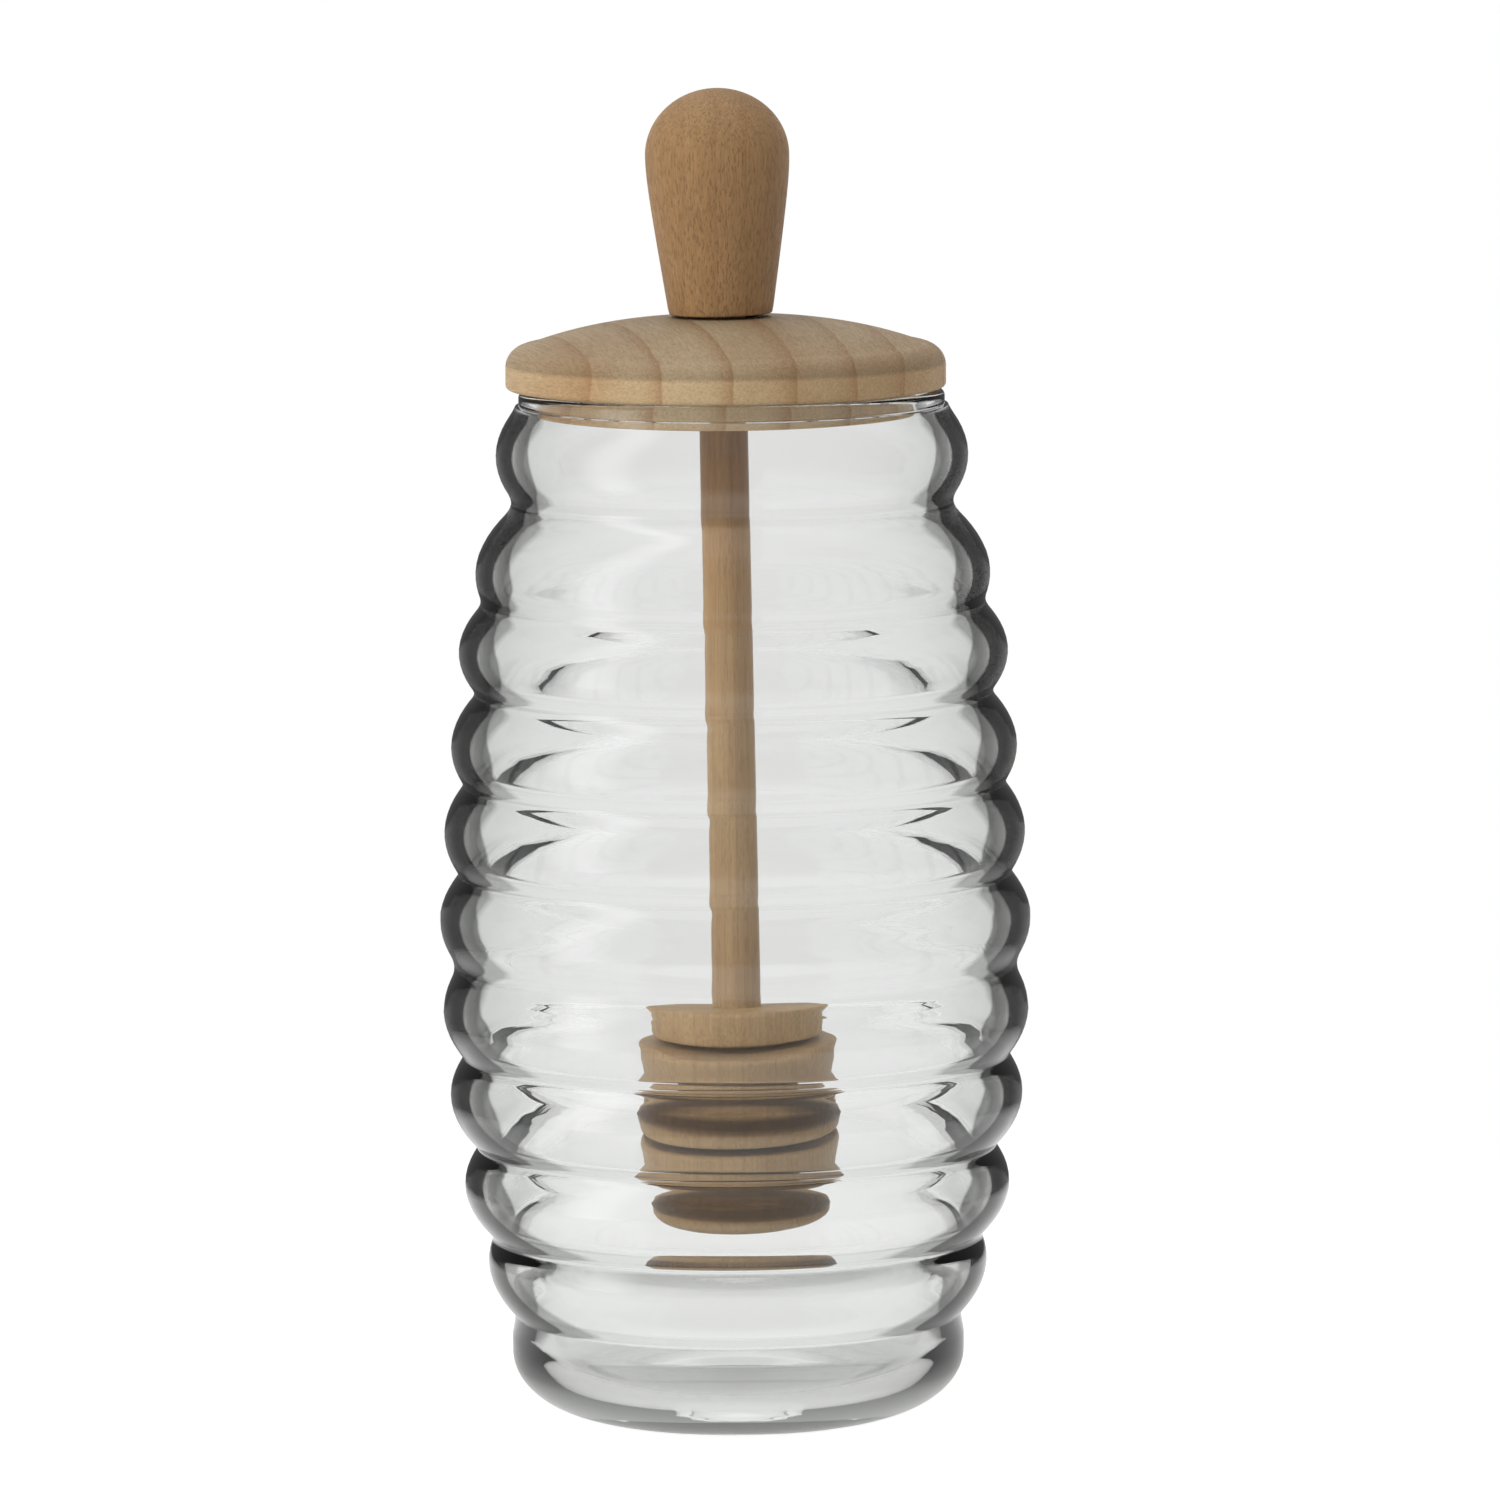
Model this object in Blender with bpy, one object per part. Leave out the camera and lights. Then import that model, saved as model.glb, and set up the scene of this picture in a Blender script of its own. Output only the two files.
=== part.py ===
"""Honey pot of ribbed glass, with a turned wooden lid and a dipper that hangs through the lid.

Metres, +Z up. The origin is on the glass's axis, at the plane that the foot stands on.
Run it with: blender --background --python part.py, or from Blender's text editor.
"""
import math

import bmesh
import bpy

# Glass, outside. Each ring is (height of the groove under it, radius in that groove, how far it bulges,
# how far its groove is rounded).
RINGS = (
    (0.0142, 0.0317, 0.0021, 0.0006),
    (0.0257, 0.0348, 0.0030, 0.0006),
    (0.0385, 0.0368, 0.0029, 0.0006),
    (0.0515, 0.0388, 0.0026, 0.0006),
    (0.0645, 0.0396, 0.0027, 0.0006),
    (0.0777, 0.0392, 0.0025, 0.0006),
    (0.0905, 0.0384, 0.0027, 0.0006),
    (0.1035, 0.0364, 0.0033, 0.0006),
    (0.1163, 0.0355, 0.0030, 0.0010),
    (0.1304, 0.0306, 0.0031, 0.0015),
)
SHOULDER_Z = 0.1445
SHOULDER_RADIUS = 0.0303
FOOT_BAND_RADIUS = 0.0323
FOOT_CORNER_HEIGHT = 0.0090
FOOT_CORNER_WIDTH = 0.0135
FOOT_BAND_STRAIGHT = 0.0025

# Glass, wall, floor and lip
WALL = 0.0025
INNER_SOFTNESS = 0.0024
FLOOR_THICKNESS = 0.0050
FLOOR_CORNER = 0.0070
PUNT_RADIUS = 0.0160
PUNT_HEIGHT = 0.0016
LIP_OUTER_RADIUS = 0.0302
LIP_INNER_RADIUS = 0.0279
LIP_TOP_Z = 0.1466
LIP_HEIGHT = 0.0021
LIP_ROUND = 0.0010

# Lid: a domed disc with a plug under it, set a little to the left of the glass's axis
LID_SHIFT_X = -0.0008
LID_RADIUS = 0.0312
LID_UNDERSIDE_Z = 0.1469
LID_EDGE_TOP_Z = 0.1499
LID_TOP_Z = 0.1570
LID_DOME_DROP = 0.0047
LID_DOME_REACH = 0.0300
LID_DOME_POWER = 2.6
LID_SHOULDER_WIDTH = 0.0032
LID_EDGE_ROUND = 0.0006
PLUG_RADIUS = 0.0267
PLUG_BOTTOM_Z = 0.1425
LID_HOLE_RADIUS = 0.0046

# Dipper and its handle share one axis, which leans a little to the left in the hole of the lid
DIPPER_SHIFT_X = -0.00135
DIPPER_PIVOT_Z = 0.1520
DIPPER_LEAN = math.radians(0.9)
SHAFT_RADIUS = 0.00345
SHAFT_TOP_Z = 0.1690
HEAD_BOTTOM_Z = 0.0269
HEAD_TOP_Z = 0.0571
CORE_RADIUS = 0.0085
DISC_GROOVE = 0.0007
DISC_RADII = (0.0138, 0.0143, 0.0142, 0.0153, 0.0148, 0.0142, 0.0131)
DISC_FLARE = 0.0010
DISC_EDGE_ROUND = 0.0005
LOWEST_EDGE_ROUND = 0.0014

# Handle: a long knob, widest near its rounded top, with a blind socket for the shaft
HANDLE_BASE_Z = 0.15735
HANDLE_WIDEST_Z = 0.1798
HANDLE_TOP_Z = 0.18925
HANDLE_RADIUS = 0.0102
HANDLE_TAPER = 0.154
HANDLE_TAPER_BLEND = 0.0043
HANDLE_CHAMFER = 0.0003
SOCKET_TOP_Z = 0.1694
SOCKET_CLEARANCE = 0.00035

# Number of flat sides each turned piece has, and of steps along each curve
GLASS_SIDES = 32
LID_SIDES = 36
HEAD_SIDES = 24
HANDLE_SIDES = 24
RING_STEPS_OUTSIDE = 6
RING_STEPS_INSIDE = 4
FOOT_STEPS = 6
LIP_STEPS = 3
CORNER_STEPS = 4
DOME_STEPS = 6
TAPER_STEPS = 6
CROWN_STEPS = 8
DISC_EDGE_STEPS = 2
MERGE_DISTANCE = 1e-6
SMOOTH_ANGLE = math.radians(50)


def clear_scene():
    """Take every object out of the file."""
    for item in list(bpy.data.objects):
        bpy.data.objects.remove(item, do_unlink=True)


def make_material(name, colour, roughness, transmission=0.0):
    """Make a plain Principled material."""
    material = bpy.data.materials.new(name)
    material.use_nodes = True
    shader = material.node_tree.nodes["Principled BSDF"]
    shader.inputs["Base Color"].default_value = (*colour, 1.0)
    shader.inputs["Roughness"].default_value = roughness
    shader.inputs["Metallic"].default_value = 0.0
    shader.inputs["Transmission Weight"].default_value = transmission
    return material


def turn(name, outline, sides, material, closed=False):
    """Turn an outline of (radius, height) points round the Z axis into one solid."""
    shape = bmesh.new()
    points = [shape.verts.new((radius, 0.0, z)) for radius, z in outline]
    edges = [shape.edges.new(pair) for pair in zip(points, points[1:])]
    if closed:
        edges.append(shape.edges.new((points[-1], points[0])))
    bmesh.ops.spin(shape, geom=points + edges, cent=(0, 0, 0), axis=(0, 0, 1),
                   angle=2 * math.pi, steps=sides, use_merge=True)
    bmesh.ops.remove_doubles(shape, verts=shape.verts, dist=MERGE_DISTANCE)
    bmesh.ops.recalc_face_normals(shape, faces=shape.faces)
    mesh = bpy.data.meshes.new(name)
    shape.to_mesh(mesh)
    shape.free()
    mesh.materials.append(material)
    mesh.shade_smooth()
    mesh.set_sharp_from_angle(angle=SMOOTH_ANGLE)
    item = bpy.data.objects.new(name, mesh)
    bpy.context.collection.objects.link(item)
    return item


def quarter_curve(start, end, steps, first_flat):
    """Points of a quarter ellipse from start to end, without start itself.

    first_flat says that the curve sets off along the radius and ends along the height.
    """
    points = []
    for step in range(1, steps + 1):
        angle = math.pi / 2 * step / steps
        rise = 1 - math.cos(angle)
        run = math.sin(angle)
        along_radius, along_height = (run, rise) if first_flat else (rise, run)
        points.append((start[0] + (end[0] - start[0]) * along_radius,
                       start[1] + (end[1] - start[1]) * along_height))
    return points


def ring_radius(z):
    """Outside radius of the ribbed wall: a low arch stands on each stretch between two grooves."""
    levels = RINGS + ((SHOULDER_Z, SHOULDER_RADIUS, 0.0, 0.0),)
    if z <= levels[0][0]:
        return levels[0][1]
    for (low_z, low_r, bulge, _), (high_z, high_r, _, _) in zip(levels, levels[1:]):
        if z <= high_z:
            part = (z - low_z) / (high_z - low_z)
            return low_r + (high_r - low_r) * part + bulge * 4 * part * (1 - part)
    return SHOULDER_RADIUS


def softened_radius(z, reach):
    """Ring radius averaged over a short height, which rounds the sharp grooves."""
    shares = (-1.0, -0.5, 0.0, 0.5, 1.0)
    return sum(ring_radius(z + share * reach) for share in shares) / len(shares)


def groove_reach(z):
    """How far the rounding reaches at a height, taken from the nearest groove."""
    return min(RINGS, key=lambda ring: abs(ring[0] - z))[3]


def ring_heights(steps):
    """Heights of the points on the wall, with the same number of steps in each ring."""
    tops = [ring[0] for ring in RINGS[1:]] + [SHOULDER_Z]
    heights = []
    for ring, high_z in zip(RINGS, tops):
        heights += [ring[0] + (high_z - ring[0]) * step / steps for step in range(steps)]
    return heights


def foot_outline():
    """Underside and foot: a shallow punt, a flat ring to stand on and a rounded corner."""
    foot_radius = FOOT_BAND_RADIUS - FOOT_CORNER_WIDTH
    band_bottom = (FOOT_BAND_RADIUS, FOOT_CORNER_HEIGHT)
    outline = [(0.0, PUNT_HEIGHT), (PUNT_RADIUS / 2, PUNT_HEIGHT * 0.75), (PUNT_RADIUS, 0.0)]
    outline.append((foot_radius, 0.0))
    outline += quarter_curve((foot_radius, 0.0), band_bottom, FOOT_STEPS, True)
    outline.append((FOOT_BAND_RADIUS, FOOT_CORNER_HEIGHT + FOOT_BAND_STRAIGHT))
    return outline


def lip_outline():
    """Short upright lip with a rounded top, ending at the foot of its inner face."""
    lip_bottom = LIP_TOP_Z - LIP_HEIGHT
    lip_middle = (LIP_OUTER_RADIUS + LIP_INNER_RADIUS) / 2
    round_start = LIP_TOP_Z - LIP_ROUND
    outline = [(LIP_OUTER_RADIUS, lip_bottom), (LIP_OUTER_RADIUS, round_start)]
    outline += quarter_curve((LIP_OUTER_RADIUS, round_start), (lip_middle, LIP_TOP_Z), LIP_STEPS, False)
    outline += quarter_curve((lip_middle, LIP_TOP_Z), (LIP_INNER_RADIUS, round_start), LIP_STEPS, True)
    outline.append((LIP_INNER_RADIUS, lip_bottom))
    return outline


def jar_outline():
    """Outline of the glass from the middle of its underside, up outside and down inside."""
    outline = foot_outline()
    outline += [(softened_radius(z, groove_reach(z)), z) for z in ring_heights(RING_STEPS_OUTSIDE)]
    outline += lip_outline()
    inside = [(softened_radius(z, INNER_SOFTNESS) - WALL, z) for z in ring_heights(RING_STEPS_INSIDE)]
    outline += reversed(inside)
    band_inner = FOOT_BAND_RADIUS - WALL
    corner_top = (band_inner, FLOOR_THICKNESS + FLOOR_CORNER)
    floor_edge = (band_inner - FLOOR_CORNER, FLOOR_THICKNESS)
    outline.append(corner_top)
    outline += quarter_curve(corner_top, floor_edge, CORNER_STEPS, False)
    outline.append((0.0, FLOOR_THICKNESS))
    return outline


def dome_height(radius):
    """Height of the lid's domed top at a distance from its middle."""
    return LID_TOP_Z - LID_DOME_DROP * (radius / LID_DOME_REACH) ** LID_DOME_POWER


def lid_outline():
    """Closed outline of the lid, from the foot of its hole round by the plug, edge and dome."""
    edge = LID_EDGE_ROUND
    outline = [(LID_HOLE_RADIUS, PLUG_BOTTOM_Z), (PLUG_RADIUS - edge, PLUG_BOTTOM_Z)]
    outline.append((PLUG_RADIUS, PLUG_BOTTOM_Z + edge))
    outline.append((PLUG_RADIUS, LID_UNDERSIDE_Z))
    outline.append((LID_RADIUS - edge, LID_UNDERSIDE_Z))
    outline.append((LID_RADIUS, LID_UNDERSIDE_Z + edge))
    outline.append((LID_RADIUS, LID_EDGE_TOP_Z))
    dome_radius = LID_RADIUS - LID_SHOULDER_WIDTH
    dome_edge = (dome_radius, dome_height(dome_radius))
    outline += quarter_curve((LID_RADIUS, LID_EDGE_TOP_Z), dome_edge, CORNER_STEPS, False)
    for step in range(1, DOME_STEPS + 1):
        radius = dome_radius + (LID_HOLE_RADIUS - dome_radius) * step / DOME_STEPS
        outline.append((radius, dome_height(radius)))
    return outline


def dipper_outline():
    """Outline of the dipper from the middle of its underside, past every disc, to the shaft's top."""
    count = len(DISC_RADII)
    pitch = (HEAD_TOP_Z - HEAD_BOTTOM_Z + DISC_GROOVE) / count
    outline = [(0.0, HEAD_BOTTOM_Z)]
    for number, radius in enumerate(DISC_RADII):
        low = HEAD_BOTTOM_Z + pitch * number
        high = low + pitch - DISC_GROOVE
        lower_round = DISC_EDGE_ROUND if number else LOWEST_EDGE_ROUND
        if number:
            outline.append((CORE_RADIUS, low))
        foot = radius - DISC_FLARE
        outline.append((foot - lower_round, low))
        outline += quarter_curve(outline[-1], (foot, low + lower_round), DISC_EDGE_STEPS, True)
        outline.append((radius, high - DISC_EDGE_ROUND))
        outline += quarter_curve(outline[-1], (radius - DISC_EDGE_ROUND, high), DISC_EDGE_STEPS, False)
        outline.append((CORE_RADIUS if number < count - 1 else SHAFT_RADIUS, high))
    outline.append((SHAFT_RADIUS, SHAFT_TOP_Z))
    outline.append((0.0, SHAFT_TOP_Z))
    return outline


def handle_radius(z):
    """Radius of the handle below its widest level: a straight taper that eases in."""
    drop = HANDLE_WIDEST_Z - z
    return HANDLE_RADIUS - HANDLE_TAPER * (math.hypot(drop, HANDLE_TAPER_BLEND) - HANDLE_TAPER_BLEND)


def handle_outline():
    """Outline of the handle from the top of its socket, down, round its base and up to the crown."""
    socket_radius = SHAFT_RADIUS + SOCKET_CLEARANCE
    base_radius = handle_radius(HANDLE_BASE_Z)
    outline = [(0.0, SOCKET_TOP_Z), (socket_radius, SOCKET_TOP_Z), (socket_radius, HANDLE_BASE_Z)]
    outline.append((base_radius - HANDLE_CHAMFER, HANDLE_BASE_Z))
    outline.append((base_radius, HANDLE_BASE_Z + HANDLE_CHAMFER))
    for step in range(1, TAPER_STEPS + 1):
        z = HANDLE_BASE_Z + (HANDLE_WIDEST_Z - HANDLE_BASE_Z) * step / TAPER_STEPS
        outline.append((handle_radius(z), z))
    outline += quarter_curve((HANDLE_RADIUS, HANDLE_WIDEST_Z), (0.0, HANDLE_TOP_Z), CROWN_STEPS, False)
    return outline


def place_on_lean(item, guide):
    """Hang an upright piece on the leaning guide, so that heights keep their meaning."""
    item.parent = guide
    item.location = (0.0, 0.0, -DIPPER_PIVOT_Z)


def make_pot():
    """Make the glass, the lid, the handle and the dipper."""
    clear_scene()
    glass = make_material("glass", (0.93, 0.95, 0.94), 0.02, transmission=1.0)
    pale_wood = make_material("pale wood", (0.52, 0.42, 0.29), 0.55)
    warm_wood = make_material("warm wood", (0.38, 0.26, 0.16), 0.55)
    shaft_wood = make_material("shaft wood", (0.42, 0.31, 0.20), 0.5)

    turn("glass_jar", jar_outline(), GLASS_SIDES, glass)
    lid = turn("lid", lid_outline(), LID_SIDES, pale_wood, closed=True)
    lid.location.x = LID_SHIFT_X

    guide = bpy.data.objects.new("dipper_axis", None)
    bpy.context.collection.objects.link(guide)
    guide.location = (DIPPER_SHIFT_X, 0.0, DIPPER_PIVOT_Z)
    guide.rotation_euler.y = -DIPPER_LEAN
    place_on_lean(turn("handle", handle_outline(), HANDLE_SIDES, warm_wood), guide)
    place_on_lean(turn("dipper", dipper_outline(), HEAD_SIDES, shaft_wood), guide)


make_pot()
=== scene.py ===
# %% [markdown]
# A honey pot of clear ribbed glass stands empty on a pale floor. A domed wooden lid closes it, and a
# wooden dipper hangs through the lid from a handle that rests on the lid. This script dresses that
# pot: each turned piece is modelled finely, and each gets a procedural finish.
#
# The first cell loads the fixed model. Its pieces never move, so everything here is made in metres in
# the same place as they are.

# %% Load the fixed frame
import math

import bmesh
import bpy
from mathutils import Matrix, Vector


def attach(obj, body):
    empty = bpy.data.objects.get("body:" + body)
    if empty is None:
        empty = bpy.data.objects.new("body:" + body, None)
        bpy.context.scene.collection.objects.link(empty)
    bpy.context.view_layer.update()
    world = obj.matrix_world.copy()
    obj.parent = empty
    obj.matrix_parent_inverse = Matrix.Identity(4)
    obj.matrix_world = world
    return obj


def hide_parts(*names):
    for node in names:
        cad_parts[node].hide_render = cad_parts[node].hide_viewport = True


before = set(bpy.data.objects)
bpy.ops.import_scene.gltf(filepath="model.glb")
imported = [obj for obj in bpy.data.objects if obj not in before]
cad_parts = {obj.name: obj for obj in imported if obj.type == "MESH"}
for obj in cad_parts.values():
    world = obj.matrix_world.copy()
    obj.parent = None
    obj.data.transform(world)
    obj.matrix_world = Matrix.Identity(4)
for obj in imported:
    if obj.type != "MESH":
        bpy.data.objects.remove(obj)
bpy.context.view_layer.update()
print("fixed nodes:", sorted(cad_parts))

# %% [markdown]
# The glass was blown into a mould with a stack of rings, so its outline is a row of shallow arches
# that meet in narrow grooves. Each ring is written as the height of the groove under it, the radius in
# that groove, how far the ring stands out, and how softly its groove is rounded. A free curve could
# give the same outline, but with a table each ring can be read and changed alone. The sizes are the
# solid model's, apart from two grooves that are eased by a few tenths of a millimetre, because real
# glass bends the view through them more gently. The last table says how softly the inside follows, as
# heights with the reach of the smoothing there: furthest near the foot, where the glass stays hot.

# %% Sizes of the glass
RINGS = (
    (0.0142, 0.0317, 0.0021, 0.0006),
    (0.0257, 0.0348, 0.0030, 0.0006),
    (0.0385, 0.0368, 0.0029, 0.0006),
    (0.0515, 0.0388, 0.0026, 0.0006),
    (0.0645, 0.0394, 0.0028, 0.0018),
    (0.0777, 0.0392, 0.0025, 0.0006),
    (0.0905, 0.0384, 0.0027, 0.0006),
    (0.1035, 0.0365, 0.0030, 0.0008),
    (0.1163, 0.0355, 0.0030, 0.0010),
    (0.1304, 0.0306, 0.0031, 0.0015),
)
SHOULDER_Z = 0.1445
SHOULDER_RADIUS = 0.0303
FOOT_BAND_RADIUS = 0.0323
FOOT_CORNER_HEIGHT = 0.0090
FOOT_CORNER_WIDTH = 0.0135
FOOT_BAND_STRAIGHT = 0.0025
WALL = 0.0025
INNER_SOFTNESS = (
    (0.0285, 0.0034),
    (0.0335, 0.0024),
    (0.0580, 0.0024),
    (0.0625, 0.0030),
    (0.0665, 0.0030),
    (0.0710, 0.0024),
)
FLOOR_THICKNESS = 0.0050
FLOOR_CORNER = 0.0070
PUNT_RADIUS = 0.0160
PUNT_HEIGHT = 0.0016
LIP_OUTER_RADIUS = 0.0302
LIP_INNER_RADIUS = 0.0279
LIP_TOP_Z = 0.1466
LIP_HEIGHT = 0.0021
LIP_ROUND = 0.0010
print("rings:", len(RINGS), "from", RINGS[0][0], "to", SHOULDER_Z, "m")

# %% [markdown]
# Every piece here is turned: an outline is spun round an axis. A screw modifier could do it too, but
# the spin operator gives a finished mesh at once. One helper spins, merges the seam and the poles,
# turns the faces outwards and shades the result smooth. The place of a leaning piece goes into its
# mesh, so that its object can stay at the origin.

# %% Helpers that turn a piece
MERGE_DISTANCE = 1e-6
SMOOTH_ANGLE = math.radians(40)


def turn(name, outline, sides, place=None, closed=False):
    """Spin an outline of (radius, height) points round Z and put the piece in its place."""
    shape = bmesh.new()
    points = [shape.verts.new((radius, 0.0, z)) for radius, z in outline]
    edges = [shape.edges.new(pair) for pair in zip(points, points[1:])]
    if closed:
        edges.append(shape.edges.new((points[-1], points[0])))
    bmesh.ops.spin(shape, geom=points + edges, cent=(0, 0, 0), axis=(0, 0, 1),
                   angle=2 * math.pi, steps=sides, use_merge=True)
    bmesh.ops.remove_doubles(shape, verts=shape.verts, dist=MERGE_DISTANCE)
    bmesh.ops.recalc_face_normals(shape, faces=shape.faces)
    if place is not None:
        bmesh.ops.transform(shape, matrix=place, verts=shape.verts)
    mesh = bpy.data.meshes.new(name)
    shape.to_mesh(mesh)
    shape.free()
    mesh.shade_smooth()
    mesh.set_sharp_from_angle(angle=SMOOTH_ANGLE)
    piece = bpy.data.objects.new(name, mesh)
    bpy.context.collection.objects.link(piece)
    print(name, len(mesh.polygons), "faces, radius", round(max(r for r, _ in outline), 4))
    return piece


def quarter_curve(start, end, steps, first_flat):
    """Points of a quarter ellipse from start to end; first_flat sets off along the radius."""
    points = []
    for step in range(1, steps + 1):
        angle = math.pi / 2 * step / steps
        rise = 1 - math.cos(angle)
        run = math.sin(angle)
        along_radius, along_height = (run, rise) if first_flat else (rise, run)
        points.append((start[0] + (end[0] - start[0]) * along_radius,
                       start[1] + (end[1] - start[1]) * along_height))
    return points


def finish_piece(piece, material, material_slot, *nodes):
    """Give a piece its finish, let it ride on the pot and stand for its fixed nodes."""
    piece.data.materials.append(material)
    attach(piece, "root")
    if nodes:
        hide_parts(*nodes)


# %% [markdown]
# The wall's outside is the row of arches, averaged over a short height so that each groove has a small
# round bottom as in real glass. The inside follows the same arches more softly, because hot glass
# smooths itself there. Points crowd together near the grooves, where the curve turns fastest.

# %% Outline of the glass wall
SAMPLES = 9
RING_STEPS = 18


def ring_radius(z):
    """Outside radius of the wall before its grooves are rounded."""
    levels = RINGS + ((SHOULDER_Z, SHOULDER_RADIUS, 0.0, 0.0),)
    if z <= levels[0][0]:
        return levels[0][1]
    for (low_z, low_r, bulge, _), (high_z, high_r, _, _) in zip(levels, levels[1:]):
        if z <= high_z:
            part = (z - low_z) / (high_z - low_z)
            return low_r + (high_r - low_r) * part + bulge * 4 * part * (1 - part)
    return SHOULDER_RADIUS


def softened_radius(z, reach):
    """Ring radius averaged over a short height."""
    shares = [2 * number / (SAMPLES - 1) - 1 for number in range(SAMPLES)]
    return sum(ring_radius(z + share * reach) for share in shares) / SAMPLES


def groove_reach(z):
    """How far the rounding reaches at a height, taken from the nearest groove."""
    return min(RINGS, key=lambda ring: abs(ring[0] - z))[3]


def inner_reach(z):
    """How far the inside is smoothed at a height, read between the rows of its table."""
    if z <= INNER_SOFTNESS[0][0]:
        return INNER_SOFTNESS[0][1]
    for (low, low_reach), (high, high_reach) in zip(INNER_SOFTNESS, INNER_SOFTNESS[1:]):
        if z <= high:
            return low_reach + (high_reach - low_reach) * (z - low) / (high - low)
    return INNER_SOFTNESS[-1][1]


def ring_heights():
    """Heights of the points on the wall, close together near every groove."""
    tops = [ring[0] for ring in RINGS[1:]] + [SHOULDER_Z]
    heights = []
    for ring, top in zip(RINGS, tops):
        for step in range(RING_STEPS):
            share = (1 - math.cos(math.pi * step / RING_STEPS)) / 2
            heights.append(ring[0] + (top - ring[0]) * share)
    return heights


print("wall points:", len(ring_heights()))

# %% [markdown]
# Under the wall is a rounded foot with a flat ring to stand on and a shallow punt. On top is a narrow
# lip above a crease. A thin shell with a solidify modifier would be quicker, but here the inside is
# softer than the outside and the foot is thick. So the outline is one line from the middle of the
# underside, up outside, over the lip and down inside to the middle of the floor, and the spin gives
# one closed body of glass, as light needs to bend rightly.

# %% Model the glass
FOOT_STEPS = 16
LIP_STEPS = 8
CORNER_STEPS = 12
FLAT_STEPS = 6
GLASS_SIDES = 180


def foot_outline():
    """Punt, flat ring and rounded corner."""
    foot_radius = FOOT_BAND_RADIUS - FOOT_CORNER_WIDTH
    outline = []
    for step in range(FLAT_STEPS):
        share = step / FLAT_STEPS
        outline.append((PUNT_RADIUS * share, PUNT_HEIGHT * (1 - share * share)))
    outline += [(PUNT_RADIUS, 0.0), (foot_radius, 0.0)]
    outline += quarter_curve((foot_radius, 0.0), (FOOT_BAND_RADIUS, FOOT_CORNER_HEIGHT), FOOT_STEPS, True)
    outline.append((FOOT_BAND_RADIUS, FOOT_CORNER_HEIGHT + FOOT_BAND_STRAIGHT))
    return outline


def lip_outline():
    """Shoulder edge, crease and rounded lip."""
    lip_bottom = LIP_TOP_Z - LIP_HEIGHT
    lip_middle = (LIP_OUTER_RADIUS + LIP_INNER_RADIUS) / 2
    round_start = LIP_TOP_Z - LIP_ROUND
    outline = [(LIP_OUTER_RADIUS, lip_bottom), (LIP_OUTER_RADIUS, round_start)]
    outline += quarter_curve((LIP_OUTER_RADIUS, round_start), (lip_middle, LIP_TOP_Z), LIP_STEPS, False)
    outline += quarter_curve((lip_middle, LIP_TOP_Z), (LIP_INNER_RADIUS, round_start), LIP_STEPS, True)
    outline.append((LIP_INNER_RADIUS, lip_bottom))
    return outline


def glass_outline():
    """The whole closed outline of the glass."""
    outline = foot_outline()
    outline += [(softened_radius(z, groove_reach(z)), z) for z in ring_heights()]
    outline += lip_outline()
    outline += reversed([(softened_radius(z, inner_reach(z)) - WALL, z) for z in ring_heights()])
    band_inner = FOOT_BAND_RADIUS - WALL
    corner_top = (band_inner, FLOOR_THICKNESS + FLOOR_CORNER)
    floor_edge = (band_inner - FLOOR_CORNER, FLOOR_THICKNESS)
    outline.append(corner_top)
    outline += quarter_curve(corner_top, floor_edge, CORNER_STEPS, False)
    outline += [(floor_edge[0] * (1 - step / FLAT_STEPS), FLOOR_THICKNESS)
                for step in range(1, FLAT_STEPS + 1)]
    return outline


glass_piece = turn("glass_pot", glass_outline(), GLASS_SIDES)

# %% [markdown]
# The lid is turned from one board: a flat flange that rests on the lip, a plug that drops into the
# mouth, and a low dome with a softly rounded shoulder. A bevelled cylinder would give the flange but
# not the dome, which a power of the distance from the middle gives in one line. The lid sits a hair
# to the left of the middle.

# %% Model the lid
LID_SHIFT_X = -0.0008
LID_RADIUS = 0.0312
LID_UNDERSIDE_Z = 0.1469
LID_EDGE_TOP_Z = 0.1499
LID_TOP_Z = 0.1570
LID_DOME_DROP = 0.0047
LID_DOME_REACH = 0.0300
LID_DOME_POWER = 2.6
LID_SHOULDER_WIDTH = 0.0032
LID_EDGE_ROUND = 0.0006
PLUG_RADIUS = 0.0267
PLUG_BOTTOM_Z = 0.1425
LID_HOLE_RADIUS = 0.0046
DOME_STEPS = 24
EDGE_STEPS = 4
WOOD_SIDES = 128


def dome_height(radius):
    """Height of the lid's domed top at a distance from its middle."""
    return LID_TOP_Z - LID_DOME_DROP * (radius / LID_DOME_REACH) ** LID_DOME_POWER


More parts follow.
